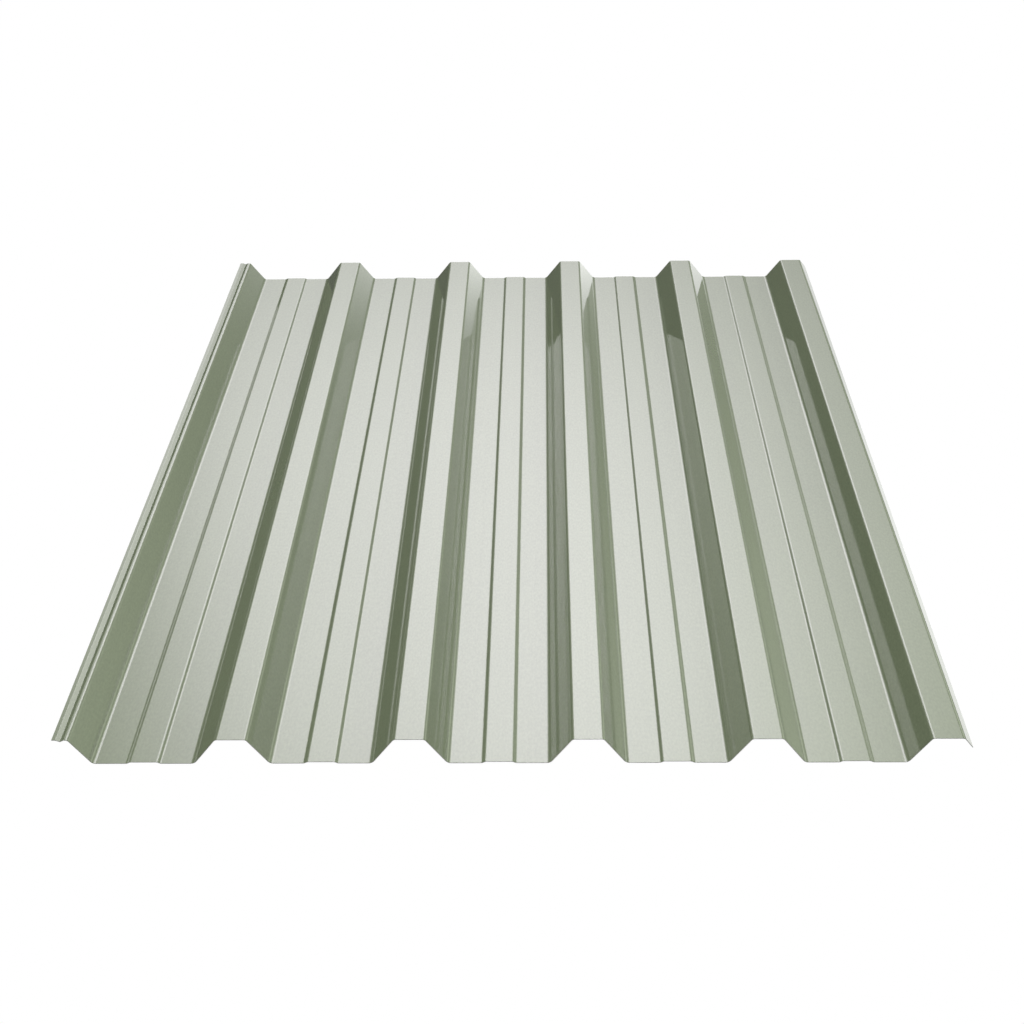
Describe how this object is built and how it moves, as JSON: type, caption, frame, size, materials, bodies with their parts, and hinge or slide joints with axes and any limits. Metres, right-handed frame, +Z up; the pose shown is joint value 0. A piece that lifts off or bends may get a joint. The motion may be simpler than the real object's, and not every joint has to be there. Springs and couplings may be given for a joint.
{
  "type": "corrugated metal sheet",
  "caption": "Roll-formed trapezoidal steel sheet with flat-topped ribs, a shallow stiffener in each pan, a grooved underlap edge and a lipped overlap edge.",
  "frame": {"origin": "middle of the sheet's footprint, on the floor that its pans lie on", "axes": "+Y along the ribs, +X across the sheet from the grooved underlap edge to the lipped overlap edge, +Z up from the pans to the crowns"},
  "size_m": [1.0642, 1.6, 0.0333],
  "materials": {
    "coated_steel": "glossy grey-green coil coating with a fine mottled pearl grain, pale where it mirrors the light"
  },
  "bodies": {
    "root": {"profiled_sheet": "coated_steel"}
  },
  "joints": []
}
